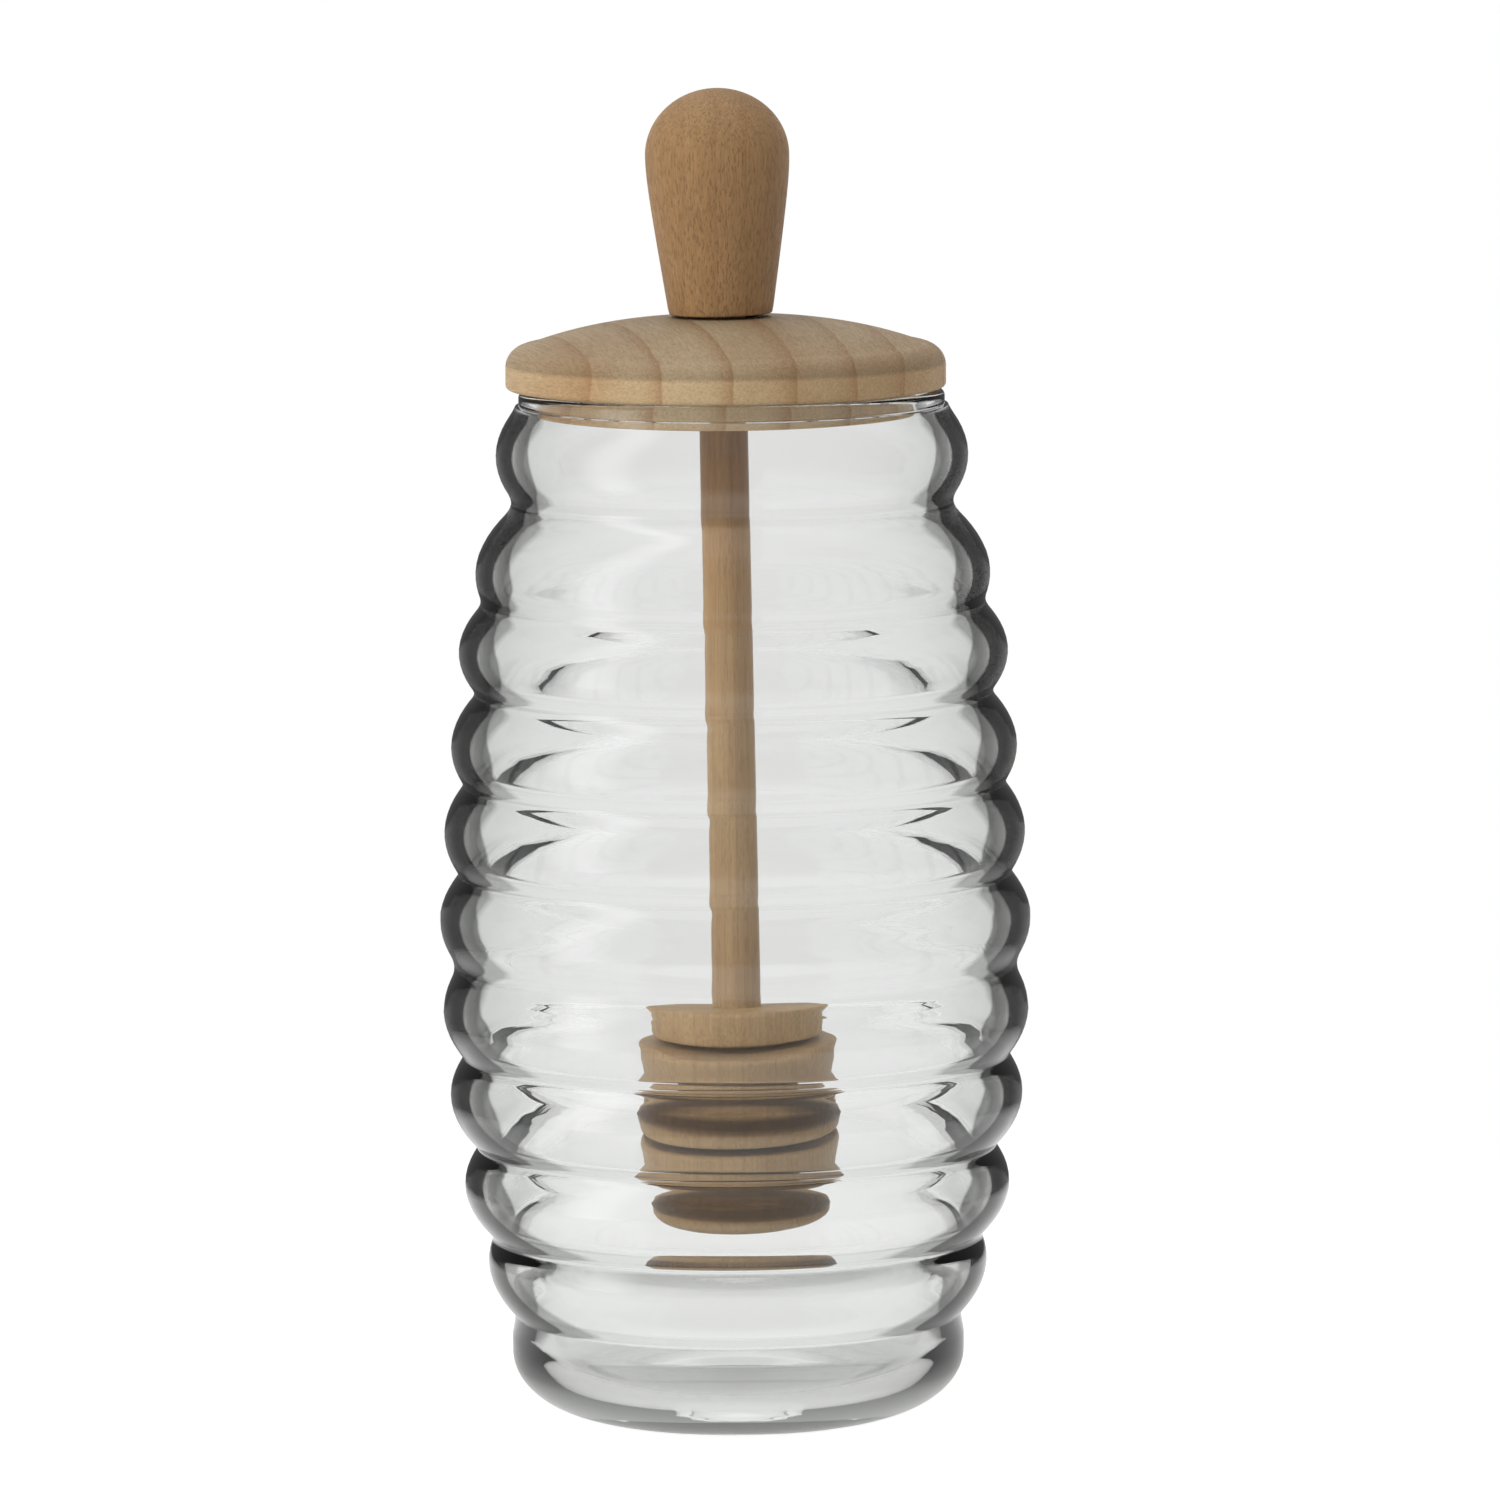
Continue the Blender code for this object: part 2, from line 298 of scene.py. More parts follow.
def lid_outline():
    """Closed outline of the lid, round by the hole, plug, flange, shoulder and dome."""
    edge = LID_EDGE_ROUND
    outline = [(LID_HOLE_RADIUS, PLUG_BOTTOM_Z), (PLUG_RADIUS - edge, PLUG_BOTTOM_Z)]
    outline += quarter_curve(outline[-1], (PLUG_RADIUS, PLUG_BOTTOM_Z + edge), EDGE_STEPS, True)
    outline.append((PLUG_RADIUS, LID_UNDERSIDE_Z))
    outline.append((LID_RADIUS - edge, LID_UNDERSIDE_Z))
    outline += quarter_curve(outline[-1], (LID_RADIUS, LID_UNDERSIDE_Z + edge), EDGE_STEPS, True)
    outline.append((LID_RADIUS, LID_EDGE_TOP_Z))
    dome_radius = LID_RADIUS - LID_SHOULDER_WIDTH
    dome_edge = (dome_radius, dome_height(dome_radius))
    outline += quarter_curve((LID_RADIUS, LID_EDGE_TOP_Z), dome_edge, CORNER_STEPS, False)
    for step in range(1, DOME_STEPS + 1):
        radius = dome_radius + (LID_HOLE_RADIUS - dome_radius) * step / DOME_STEPS
        outline.append((radius, dome_height(radius)))
    return outline


lid_piece = turn("lid_dome", lid_outline(), WOOD_SIDES, Matrix.Translation((LID_SHIFT_X, 0.0, 0.0)), True)

# %% [markdown]
# The dipper and its handle share one axis, which leans a little in the lid's wide hole. The handle is
# a long knob with a blind socket for the dowel. A stretched ball would be too round at its foot, so
# it is a taper that blends into half an ellipse at the widest level.

# %% Model the handle
DIPPER_SHIFT_X = -0.00135
DIPPER_PIVOT_Z = 0.1520
DIPPER_LEAN = math.radians(0.9)
SHAFT_RADIUS = 0.00345
HANDLE_BASE_Z = 0.15735
HANDLE_WIDEST_Z = 0.1798
HANDLE_TOP_Z = 0.18925
HANDLE_RADIUS = 0.0102
HANDLE_TAPER = 0.154
HANDLE_TAPER_BLEND = 0.0043
HANDLE_CHAMFER = 0.0003
SOCKET_TOP_Z = 0.1694
SOCKET_CLEARANCE = 0.00035
TAPER_STEPS = 24
CROWN_STEPS = 24
lean_place = (Matrix.Translation((DIPPER_SHIFT_X, 0.0, DIPPER_PIVOT_Z))
              @ Matrix.Rotation(-DIPPER_LEAN, 4, "Y")
              @ Matrix.Translation((0.0, 0.0, -DIPPER_PIVOT_Z)))


def handle_radius(z):
    """Radius of the handle below its widest level."""
    drop = HANDLE_WIDEST_Z - z
    return HANDLE_RADIUS - HANDLE_TAPER * (math.hypot(drop, HANDLE_TAPER_BLEND) - HANDLE_TAPER_BLEND)


def handle_outline():
    """Outline of the handle from its socket, round its base and up to the crown."""
    socket_radius = SHAFT_RADIUS + SOCKET_CLEARANCE
    base_radius = handle_radius(HANDLE_BASE_Z)
    outline = [(0.0, SOCKET_TOP_Z), (socket_radius, SOCKET_TOP_Z), (socket_radius, HANDLE_BASE_Z)]
    outline.append((base_radius - HANDLE_CHAMFER, HANDLE_BASE_Z))
    outline += quarter_curve(outline[-1], (base_radius, HANDLE_BASE_Z + HANDLE_CHAMFER), EDGE_STEPS, True)
    for step in range(1, TAPER_STEPS + 1):
        z = HANDLE_BASE_Z + (HANDLE_WIDEST_Z - HANDLE_BASE_Z) * step / TAPER_STEPS
        outline.append((handle_radius(z), z))
    outline += quarter_curve((HANDLE_RADIUS, HANDLE_WIDEST_Z), (0.0, HANDLE_TOP_Z), CROWN_STEPS, False)
    return outline


handle_piece = turn("handle_knob", handle_outline(), WOOD_SIDES, lean_place)

# %% [markdown]
# The dipper's head is a barrel cut by narrow slots into a stack of discs with rounded edges, because
# honey clings in slots. Each disc is a little wider at its top. The discs could be cylinders on a
# stick, but the real one is cut from one piece, so a loop writes them all into one outline with the
# dowel.

# %% Model the dipper
SHAFT_TOP_Z = 0.1690
HEAD_BOTTOM_Z = 0.0269
HEAD_TOP_Z = 0.0571
CORE_RADIUS = 0.0085
DISC_GROOVE = 0.0007
DISC_RADII = (0.0138, 0.0143, 0.0142, 0.0153, 0.0148, 0.0142, 0.0131)
DISC_FLARE = 0.0010
DISC_EDGE_ROUND = 0.0005
LOWEST_EDGE_ROUND = 0.0014
DISC_SIDE_STEPS = 3
SHAFT_STEPS = 12


def dipper_outline():
    """Outline of the dipper from the middle of its underside, past every disc, to the dowel's top."""
    count = len(DISC_RADII)
    pitch = (HEAD_TOP_Z - HEAD_BOTTOM_Z + DISC_GROOVE) / count
    outline = [(0.0, HEAD_BOTTOM_Z)]
    for number, radius in enumerate(DISC_RADII):
        low = HEAD_BOTTOM_Z + pitch * number
        high = low + pitch - DISC_GROOVE
        foot = radius - DISC_FLARE
        lower_round = DISC_EDGE_ROUND if number else LOWEST_EDGE_ROUND
        if number:
            outline.append((CORE_RADIUS, low))
        outline.append((foot - lower_round, low))
        outline += quarter_curve(outline[-1], (foot, low + lower_round), EDGE_STEPS, True)
        side_low, side_high = low + lower_round, high - DISC_EDGE_ROUND
        for step in range(1, DISC_SIDE_STEPS + 1):
            share = step / DISC_SIDE_STEPS
            outline.append((foot + DISC_FLARE * share, side_low + (side_high - side_low) * share))
        outline += quarter_curve(outline[-1], (radius - DISC_EDGE_ROUND, high), EDGE_STEPS, False)
        outline.append((CORE_RADIUS if number < count - 1 else SHAFT_RADIUS, high))
    for step in range(1, SHAFT_STEPS + 1):
        outline.append((SHAFT_RADIUS, HEAD_TOP_Z + (SHAFT_TOP_Z - HEAD_TOP_Z) * step / SHAFT_STEPS))
    outline.append((0.0, SHAFT_TOP_Z))
    return outline


dipper_piece = turn("dipper_stick", dipper_outline(), WOOD_SIDES, lean_place)

# %% [markdown]
# Finishes are chains of nodes. They could be drawn by hand in the shader editor, but in a script a few
# small helpers make them readable: each adds one node, takes sockets or plain values and gives back
# the node's output, so that a finish reads as a list of steps.

# %% Node helpers
def new_node(tree, kind, **inputs):
    """Add a node and set its plain inputs by name, with spaces written as underscores."""
    node = tree.nodes.new(kind)
    for name, value in inputs.items():
        node.inputs[name.replace("_", " ")].default_value = value
    return node


def maths(tree, operation, first, second=None):
    """Add a Math node on sockets or numbers and return its output."""
    node = tree.nodes.new("ShaderNodeMath")
    node.operation = operation
    for socket, value in zip(node.inputs, (first, second)):
        if isinstance(value, bpy.types.NodeSocket):
            tree.links.new(value, socket)
        elif value is not None:
            socket.default_value = value
    return node.outputs[0]


def scaled(tree, vector, scale):
    """Stretch a position, for patterns that are longer one way than another."""
    node = tree.nodes.new("ShaderNodeVectorMath")
    node.operation = "MULTIPLY"
    tree.links.new(vector, node.inputs[0])
    node.inputs[1].default_value = scale
    return node.outputs[0]


def noise(tree, vector, scale, detail=3.0, roughness=0.55):
    """Add a Noise texture and return its value."""
    node = new_node(tree, "ShaderNodeTexNoise", Scale=scale, Detail=detail, Roughness=roughness)
    tree.links.new(vector, node.inputs["Vector"])
    return node.outputs["Fac"]


def remap(tree, value, low, high, to_low=0.0, to_high=1.0):
    """Map a value's range to another, clamped."""
    node = tree.nodes.new("ShaderNodeMapRange")
    node.inputs["From Min"].default_value = low
    node.inputs["From Max"].default_value = high
    node.inputs["To Min"].default_value = to_low
    node.inputs["To Max"].default_value = to_high
    tree.links.new(value, node.inputs["Value"])
    return node.outputs["Result"]


def mix_colour(tree, factor, first, second, blend="MIX"):
    """Mix two colours, given as sockets or plain colours."""
    node = tree.nodes.new("ShaderNodeMix")
    node.data_type = "RGBA"
    node.blend_type = blend
    for socket, value in ((node.inputs["Factor"], factor), (node.inputs[6], first), (node.inputs[7], second)):
        if isinstance(value, bpy.types.NodeSocket):
            tree.links.new(value, socket)
        elif isinstance(value, float):
            socket.default_value = value
        else:
            socket.default_value = (*value, 1.0)
    return node.outputs[2]


def ramp(tree, value, stops):
    """Add a colour ramp with stops of (place, colour)."""
    node = tree.nodes.new("ShaderNodeValToRGB")
    ramp_line = node.color_ramp
    while len(ramp_line.elements) > 1:
        ramp_line.elements.remove(ramp_line.elements[-1])
    for number, (place, colour) in enumerate(stops):
        stop = ramp_line.elements[0] if number == 0 else ramp_line.elements.new(place)
        stop.position = place
        stop.color = (*colour, 1.0)
    tree.links.new(value, node.inputs["Fac"])
    return node.outputs["Color"]


# %% [markdown]
# Beech shows three things close up: growth rings a few millimetres apart, fine fibres along the stick,
# and short dark flecks. A picture of wood would stretch over the turned shapes, while a pattern in
# space runs through them as it does in real wood. All three wooden pieces share it, so it is one node
# group, and each finish sets its own spacing and colours. Its position input has the fibres along Z.

# %% The wood figure group
USUAL_SPACING = 0.004
WANDER_STRETCH = 0.2
RING_WANDER_SCALE = 38.0
RING_EDGE_POWER = 6.0
RING_END = (0.97, 1.0)
FIBRE_STRETCH = 0.03
FIBRE_SCALE = 2600.0
FLECK_STRETCH = 0.18
FLECK_SCALE = 4200.0
FLECK_RANGE = (0.52, 0.66)


def make_wood_figure():
    """Group: position, ring spacing and wander in; ring shade, fibres and flecks out, from 0 to 1."""
    group = bpy.data.node_groups.new("wood_figure", "ShaderNodeTree")
    group.interface.new_socket("Position", in_out="INPUT", socket_type="NodeSocketVector")
    spacing = group.interface.new_socket("Ring Spacing", in_out="INPUT", socket_type="NodeSocketFloat")
    spacing.default_value = USUAL_SPACING
    group.interface.new_socket("Wander", in_out="INPUT", socket_type="NodeSocketFloat")
    for name in ("Rings", "Fibres", "Flecks"):
        group.interface.new_socket(name, in_out="OUTPUT", socket_type="NodeSocketFloat")
    start = group.nodes.new("NodeGroupInput")
    end = group.nodes.new("NodeGroupOutput")
    position = start.outputs["Position"]

    wander = noise(group, scaled(group, position, (1.0, 1.0, WANDER_STRETCH)), RING_WANDER_SCALE, 2.0)
    split = group.nodes.new("ShaderNodeSeparateXYZ")
    group.links.new(position, split.inputs[0])
    across = maths(group, "POWER", split.outputs["X"], 2.0)
    deep = maths(group, "POWER", split.outputs["Y"], 2.0)
    distance = maths(group, "SQRT", maths(group, "ADD", across, deep))
    bent = maths(group, "ADD", distance, maths(group, "MULTIPLY", wander, start.outputs["Wander"]))
    turns = maths(group, "DIVIDE", bent, start.outputs["Ring Spacing"])
    share = maths(group, "FRACT", turns)
    rising = maths(group, "POWER", share, RING_EDGE_POWER)
    ending = maths(group, "SUBTRACT", 1.0, remap(group, share, *RING_END))
    rings = maths(group, "MULTIPLY", rising, ending)
    group.links.new(rings, end.inputs["Rings"])

    fibres = noise(group, scaled(group, position, (1.0, 1.0, FIBRE_STRETCH)), FIBRE_SCALE, 4.0, 0.65)
    group.links.new(fibres, end.inputs["Fibres"])
    flecks = noise(group, scaled(group, position, (1.0, 1.0, FLECK_STRETCH)), FLECK_SCALE, 2.0, 0.5)
    group.links.new(remap(group, flecks, *FLECK_RANGE), end.inputs["Flecks"])
    return group


wood_figure = make_wood_figure()
print("wood figure group:", len(wood_figure.nodes), "nodes")

# %% [markdown]
# Each wooden finish starts from a pale and a deep colour. Growth rings, fibres and flecks pull it from
# one to the other, and a slow cloud shifts whole areas. Fibres and flecks also set the roughness and a
# fine bump, because sanded wood is duller and lower where its pores open. The last step multiplies the
# colour by a ramp along the height, which paints light and shade into it. It puts painted shade at the
# top of the dowel under the lid and in the dark middles of two discs. It also sets lighter or darker
# levels where the lamps reach a part more or less.

# %% The wooden finishes
SHEEN = 0.20
GRAIN_STRENGTH = 0.35
GRAIN_DEPTH = 0.0002
CLOUD_STRETCH = 0.35
CLOUD_SCALE = 60.0
CLOUD_RANGE = (0.35, 0.65, 0.05, 0.45)
FIBRE_RANGE = (0.3, 0.7)
FIBRE_SHADES = (0.84, 1.12)
FLECK_DARKNESS = 0.55


def painted_light_by_height(tree, painted_light):
    """Painted light and shade along the height: a ramp between the heights and colour factors given."""
    split = tree.nodes.new("ShaderNodeSeparateXYZ")
    tree.links.new(tree.nodes.new("ShaderNodeTexCoord").outputs["Object"], split.inputs[0])
    low, high = painted_light[0][0], painted_light[-1][0]
    share = remap(tree, split.outputs["Z"], low, high)
    return ramp(tree, share, [((z - low) / (high - low), factor) for z, factor in painted_light])


def make_wood(name, pale, deep, turned, heart, spacing, wander, ring_strength, fleck_strength,
              rough_range, painted_light):
    """A sanded wood; turned (degrees) lays its fibres along Z and heart is the middle of the rings."""
    material = bpy.data.materials.new(name)
    material.use_nodes = True
    tree = material.node_tree
    shader = tree.nodes["Principled BSDF"]
    place = tree.nodes.new("ShaderNodeTexCoord").outputs["Object"]
    mapping = tree.nodes.new("ShaderNodeMapping")
    mapping.inputs["Rotation"].default_value = [math.radians(angle) for angle in turned]
    mapping.inputs["Location"].default_value = heart
    tree.links.new(place, mapping.inputs["Vector"])
    position = mapping.outputs["Vector"]
    figure = tree.nodes.new("ShaderNodeGroup")
    figure.node_tree = wood_figure
    figure.inputs["Ring Spacing"].default_value = spacing
    figure.inputs["Wander"].default_value = wander
    tree.links.new(position, figure.inputs["Position"])

    cloud = noise(tree, scaled(tree, position, (1.0, 1.0, CLOUD_STRETCH)), CLOUD_SCALE, 3.0)
    base = mix_colour(tree, remap(tree, cloud, *CLOUD_RANGE), pale, deep)
    ringed = mix_colour(tree, maths(tree, "MULTIPLY", figure.outputs["Rings"], ring_strength), base, deep)
    fibre_shade = remap(tree, figure.outputs["Fibres"], *FIBRE_RANGE, *FIBRE_SHADES)
    streaked = mix_colour(tree, 1.0, ringed, fibre_shade, "MULTIPLY")
    flecked = mix_colour(tree, maths(tree, "MULTIPLY", figure.outputs["Flecks"], fleck_strength), streaked,
                         [channel * FLECK_DARKNESS for channel in deep])
    # Painted light and shade: the colour is multiplied by the ramp along the height.
    shaded = mix_colour(tree, 1.0, flecked, painted_light_by_height(tree, painted_light), "MULTIPLY")
    tree.links.new(shaded, shader.inputs["Base Color"])

    rough = remap(tree, figure.outputs["Fibres"], *FIBRE_RANGE, *rough_range)
    tree.links.new(rough, shader.inputs["Roughness"])
    shader.inputs["Specular IOR Level"].default_value = SHEEN
    bump = new_node(tree, "ShaderNodeBump", Strength=GRAIN_STRENGTH, Distance=GRAIN_DEPTH)
    grain = maths(tree, "SUBTRACT", figure.outputs["Fibres"], figure.outputs["Flecks"])
    tree.links.new(grain, bump.inputs["Height"])
    tree.links.new(bump.outputs["Normal"], shader.inputs["Normal"])
    print(name, len(tree.nodes), "nodes")
    return material


# %% [markdown]
# The lid is the palest wood, with growth lines that run from front to back at a slant, so its fibres
# are turned from the height to that direction. The handle is the darkest and has the most flecks. One
# maker with other numbers serves all three, so that they stay one family of wood. Each also gets
# painted light and shade as rows of a height and a factor for the colour there. On the dipper this is
# painted shade in dark bands on two discs and on the dowel, which darkens towards the lid as a painted
# shadow of it, and its top disc is left lighter than the discs below. On the lid, the plug inside the
# glass is painted lighter and the dome top darker. On the handle, the crown is painted darker.

# %% Three kinds of beech
FULL = (1.0, 1.0, 1.0)
# Painted shade for the dark middles of two head discs, and the level of the discs below the top one, which
# leaves the top disc painted lighter.
DISC_PAINTED_SHADE_LOW = (0.20, 0.16, 0.12)
DISC_PAINTED_SHADE_HIGH = (0.15, 0.115, 0.08)
LOWER_DISCS_LEVEL = (0.81, 0.80, 0.79)
LID_EDGE = (0.77, 0.74, 0.69)
# Painted shade on the dipper by height: dark bands on two discs, the top disc lighter, and the dowel
# darkening towards the lid as a painted shadow of it.
DIPPER_PAINTED_SHADE = (
    (HEAD_BOTTOM_Z, LOWER_DISCS_LEVEL), (0.0281, LOWER_DISCS_LEVEL),
    (0.0288, DISC_PAINTED_SHADE_LOW), (0.0305, DISC_PAINTED_SHADE_LOW),
    (0.0311, LOWER_DISCS_LEVEL), (0.0402, LOWER_DISCS_LEVEL), (0.0412, LOWER_DISCS_LEVEL),
    (0.0420, DISC_PAINTED_SHADE_HIGH), (0.0434, DISC_PAINTED_SHADE_HIGH),
    (0.0440, LOWER_DISCS_LEVEL), (0.0520, LOWER_DISCS_LEVEL),
    (0.0534, FULL), (HEAD_TOP_Z, FULL),
    (0.0600, (0.83, 0.81, 0.81)), (0.0950, (0.90, 0.88, 0.88)), (0.1240, (0.88, 0.78, 0.68)),
    (0.1330, (0.60, 0.50, 0.41)), (PLUG_BOTTOM_Z, (0.52, 0.40, 0.31)),
)
# Painted light on the lid by height: the plug inside the glass lighter, the flange edge darker and the dome
# top darkest and a little greyer.
LID_PAINTED_LIGHT = (
    (PLUG_BOTTOM_Z, FULL), (0.1464, FULL),
    (LID_UNDERSIDE_Z, LID_EDGE), (0.1500, LID_EDGE),
    (0.1506, (0.48, 0.47, 0.46)), (LID_TOP_Z, (0.44, 0.445, 0.45)),
)
# Painted shade on the handle: its crown darker and a little greyer.
HANDLE_PAINTED_SHADE = (
    (0.1573, FULL), (0.1800, FULL),
    (0.1865, (0.82, 0.84, 0.86)), (0.1893, (0.78, 0.80, 0.84)),
)
lid_wood = make_wood(
    "lid_beech", pale=(0.67, 0.515, 0.320), deep=(0.40, 0.215, 0.090), turned=(90.0, 14.0, 0.0),
    heart=(0.1635, 0.1525, 0.0), spacing=0.0088, wander=0.0035, ring_strength=0.75,
    fleck_strength=0.18, rough_range=(0.62, 0.48), painted_light=LID_PAINTED_LIGHT)
handle_wood = make_wood(
    "handle_beech", pale=(0.35, 0.205, 0.094), deep=(0.20, 0.104, 0.041), turned=(0.0, 0.0, 0.0),
    heart=(0.034, 0.010, 0.0), spacing=0.0042, wander=0.0030, ring_strength=0.30,
    fleck_strength=0.42, rough_range=(0.60, 0.45), painted_light=HANDLE_PAINTED_SHADE)
dipper_wood = make_wood(
    "dipper_beech", pale=(0.485, 0.328, 0.166), deep=(0.30, 0.174, 0.075), turned=(0.0, 0.0, 0.0),
    heart=(-0.020, 0.014, 0.0), spacing=0.0034, wander=0.0030, ring_strength=0.30,
    fleck_strength=0.25, rough_range=(0.42, 0.32), painted_light=DIPPER_PAINTED_SHADE)

# %% [markdown]
# Clear glass is all bending of light: a Principled shader that transmits everything, at the index of
# table glass. At the edges of the rings the wall is looked at along its surface, and the view through
# it bends away to the dark parts of the room. That makes a black crescent and a grey strip inside it.
# Dark cards round the pot would do this for one view only. So the crescent and the strip are painted
# shade in the glass's colour, set by the angle it is seen at, with a lighter painted rim at the very
# edge of the outside. The crescent starts where a ray just misses the inner surface, and each side of
# the wall has its own row of stops: an angle's share with the colour there.

# %% Painted shade on the glass edges
# Painted shade by facing angle: dark crescent, grey strip and a lighter painted rim at the edge.
OUTSIDE_PAINTED_SHADE = (
    (0.00, (0.985, 0.99, 0.985)),
    (0.33, (0.94, 0.945, 0.94)),
    (0.50, (0.82, 0.83, 0.81)),
    (0.54, (0.26, 0.265, 0.255)),
    (0.62, (0.20, 0.205, 0.195)),
    (0.64, (0.004, 0.004, 0.004)),
    (0.72, (0.002, 0.002, 0.002)),
    (0.78, (0.006, 0.006, 0.006)),
    (0.86, (0.03, 0.03, 0.028)),
    (0.93, (0.16, 0.165, 0.155)),
    (1.00, (0.80, 0.82, 0.78)),
)
INSIDE_PAINTED_SHADE = (
    (0.00, (0.985, 0.99, 0.985)),
    (0.33, (0.94, 0.945, 0.94)),
    (0.60, (0.80, 0.81, 0.79)),
    (0.635, (0.76, 0.77, 0.75)),
    (0.66, (0.006, 0.006, 0.006)),
    (1.00, (0.006, 0.006, 0.006)),
)
BASE_TINT = (0.93, 0.94, 0.93)
print("tint stops:", len(OUTSIDE_PAINTED_SHADE), "outside and", len(INSIDE_PAINTED_SHADE), "inside")

# %% [markdown]
# The painted shade belongs to the wall alone, so it fades in past the thick foot and out below the
# lip. It also belongs to the view straight from the eye, so it stops after a number of bounces: at the
# first crossing on the outside, and at the third on the inside, where the back wall is met. The foot's
# round corner gathers light like a lens, which few rays find, so a faint painted glow stands in where
# it curves under. A bump with long level streaks gives the marks of the mould, and rays on their way
# to a lamp pass straight through, because bent shadows would stay noisy for a long time.

# %% The glass finish
GLASS_INDEX = 1.47
CLEAR_RADIUS = 0.0235
PAINTED_SHADE_RADIUS = 0.0265
CLEAR_HEIGHT = 0.0100
PAINTED_SHADE_HEIGHT = 0.0145
LIP_FADE = (0.1440, 0.1448, 1.0, 0.0)
CORNER_SLOPE = (-0.80, -0.30)
CORNER_HEIGHT = (0.0070, 0.0100)
CORNER_GLOW = 0.17
CORNER_LIGHT = (0.98, 1.0, 0.97, 1.0)
STREAK_STRETCH = (0.05, 0.05, 1.0)
STREAK_SCALE = 260.0
STREAK_STRENGTH = 0.20
STREAK_DEPTH = 0.0001
OUTSIDE_LAST_BOUNCE = 0
INSIDE_LAST_BOUNCE = 2


def make_glass(name, painted_edge_shade, last_bounce):
    """Clear mould-blown glass with painted shade by facing angle, up to a last bounce."""
    material = bpy.data.materials.new(name)
    material.use_nodes = True
    tree = material.node_tree
    shader = tree.nodes["Principled BSDF"]
    shader.inputs["Transmission Weight"].default_value = 1.0
    shader.inputs["IOR"].default_value = GLASS_INDEX
    shader.inputs["Roughness"].default_value = 0.0
    facing = new_node(tree, "ShaderNodeLayerWeight", Blend=0.5).outputs["Facing"]
    place = tree.nodes.new("ShaderNodeTexCoord").outputs["Object"]
    reach = tree.nodes.new("ShaderNodeVectorMath")
    reach.operation = "LENGTH"
    tree.links.new(scaled(tree, place, (1.0, 1.0, 0.0)), reach.inputs[0])
    split = tree.nodes.new("ShaderNodeSeparateXYZ")
    tree.links.new(place, split.inputs[0])
    on_wall = maths(tree, "MULTIPLY", remap(tree, reach.outputs["Value"], CLEAR_RADIUS, PAINTED_SHADE_RADIUS),
                    remap(tree, split.outputs["Z"], CLEAR_HEIGHT, PAINTED_SHADE_HEIGHT))
    on_wall = maths(tree, "MULTIPLY", on_wall, remap(tree, split.outputs["Z"], *LIP_FADE))
    path = tree.nodes.new("ShaderNodeLightPath")
    straight = maths(tree, "LESS_THAN", path.outputs["Ray Depth"], last_bounce + 0.5)
    painted_shade_mask = maths(tree, "MULTIPLY", on_wall, straight)
    # Painted shade from the ramp, mixed over the glass's own colour on the wall.
    painted_shade = mix_colour(tree, painted_shade_mask, BASE_TINT, ramp(tree, facing, painted_edge_shade))
    tree.links.new(painted_shade, shader.inputs["Base Color"])

    slope = tree.nodes.new("ShaderNodeSeparateXYZ")
    tree.links.new(tree.nodes.new("ShaderNodeTexCoord").outputs["Normal"], slope.inputs[0])
    corner = maths(tree, "MULTIPLY", remap(tree, slope.outputs["Z"], *CORNER_SLOPE, 1.0, 0.0),
                   remap(tree, split.outputs["Z"], *CORNER_HEIGHT, 1.0, 0.0))
    # Painted glow in the foot's corner, standing in for the light it gathers.
    painted_corner_glow = maths(tree, "MULTIPLY", maths(tree, "MULTIPLY", corner, straight), CORNER_GLOW)
    tree.links.new(painted_corner_glow, shader.inputs["Emission Strength"])
    shader.inputs["Emission Color"].default_value = CORNER_LIGHT
    streaks = noise(tree, scaled(tree, place, STREAK_STRETCH), STREAK_SCALE, 1.0)
    bump = new_node(tree, "ShaderNodeBump", Strength=STREAK_STRENGTH, Distance=STREAK_DEPTH)
    tree.links.new(maths(tree, "MULTIPLY", streaks, on_wall), bump.inputs["Height"])
    tree.links.new(bump.outputs["Normal"], shader.inputs["Normal"])

    clear = tree.nodes.new("ShaderNodeBsdfTransparent")
    mix = tree.nodes.new("ShaderNodeMixShader")
    output = tree.nodes["Material Output"]
    tree.links.new(path.outputs["Is Shadow Ray"], mix.inputs["Fac"])
    tree.links.new(shader.outputs["BSDF"], mix.inputs[1])
    tree.links.new(clear.outputs["BSDF"], mix.inputs[2])
    tree.links.new(mix.outputs["Shader"], output.inputs["Surface"])
    print(name, len(tree.nodes), "nodes")
    return material


outside_glass = make_glass("clear_glass_outside", OUTSIDE_PAINTED_SHADE, OUTSIDE_LAST_BOUNCE)
inside_glass = make_glass("clear_glass_inside", INSIDE_PAINTED_SHADE, INSIDE_LAST_BOUNCE)

# %% [markdown]
# Now each piece gets its finish, rides on the pot's one body and stands for the solid that it repeats.
# The faces of the glass that look at the pot's middle get the inside finish. They are found by their
# direction, so that no list of faces has to be kept.

# %% Dress the pieces
finish_piece(glass_piece, outside_glass, "glass", "glass_jar")
glass_piece.data.materials.append(inside_glass)
inward = [face for face in glass_piece.data.polygons
          if face.normal.x * face.center.x + face.normal.y * face.center.y < 0]
for face in inward:
    face.material_index = 1
print("inward faces of the glass:", len(inward))
finish_piece(lid_piece, lid_wood, "lid_wood", "lid")
finish_piece(handle_piece, handle_wood, "handle_wood", "handle")
finish_piece(dipper_piece, dipper_wood, "dipper_wood", "dipper")

# %% [markdown]
# The pot stands on a pale floor that runs into white. A large plane would end in a horizon, so the
# floor is a disc that fades out before its edge. It has a glow for the eye alone, which takes it close
# to white without lighting the glass from below.

